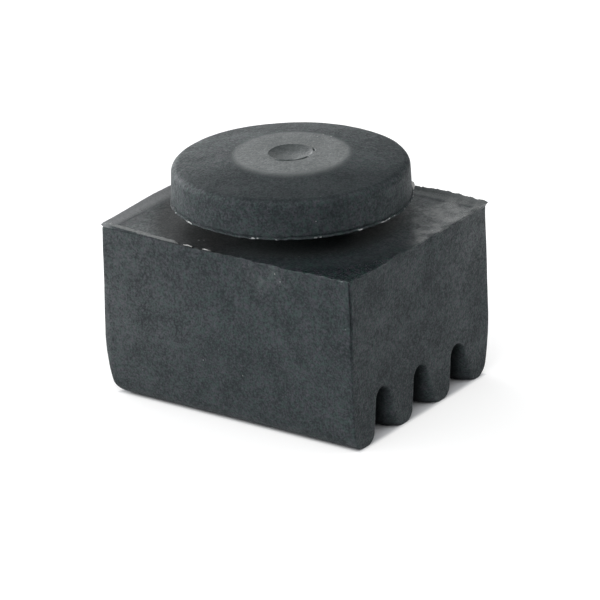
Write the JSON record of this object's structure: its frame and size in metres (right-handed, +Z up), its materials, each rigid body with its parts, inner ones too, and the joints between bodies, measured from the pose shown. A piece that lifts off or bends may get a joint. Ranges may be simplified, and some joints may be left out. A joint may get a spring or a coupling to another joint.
{
  "type": "rubber cap",
  "caption": "One-piece moulded rubber cap: a block foot with ribbed soles, a short neck that grips a sheet and a round domed head.",
  "frame": {"origin": "middle of the block's plan, at the level of the ribs' soles", "axes": "+X along the ribs, from the rounded heel to the upright toe end; +Y across the ribs, so the long face that is seen in front looks along -Y; +Z up through the neck and the head"},
  "size_m": [0.0262, 0.0212, 0.0215],
  "materials": {
    "rubber": "matte moulded rubber"
  },
  "bodies": {
    "root": {"rubber_cap": "rubber"}
  },
  "joints": []
}
